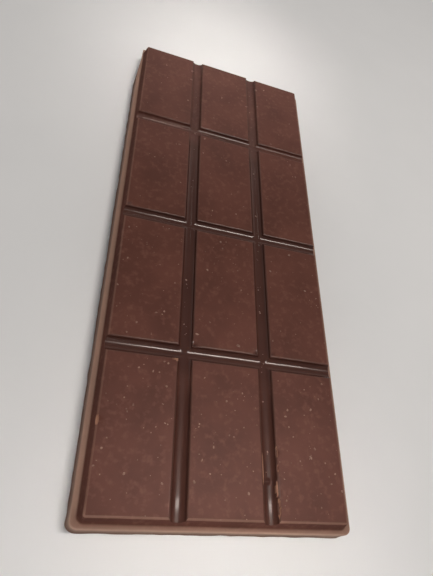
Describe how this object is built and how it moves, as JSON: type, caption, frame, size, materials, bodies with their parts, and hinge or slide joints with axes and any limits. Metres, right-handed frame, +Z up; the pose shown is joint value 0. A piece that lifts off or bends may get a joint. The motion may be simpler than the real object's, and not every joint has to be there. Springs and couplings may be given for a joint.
{
  "type": "chocolate bar",
  "caption": "Moulded plain chocolate bar: a long tablet of raised rectangular blocks parted by grooves, on a flat back with a narrow rim.",
  "frame": {"origin": "middle of the flat back, on the surface that the bar lies on", "axes": "+X across the bar, +Y along its length, +Z up out of the block faces"},
  "size_m": [0.0656, 0.16, 0.008],
  "materials": {
    "chocolate": "satin"
  },
  "bodies": {
    "root": {"chocolate_bar": "chocolate"}
  },
  "joints": []
}
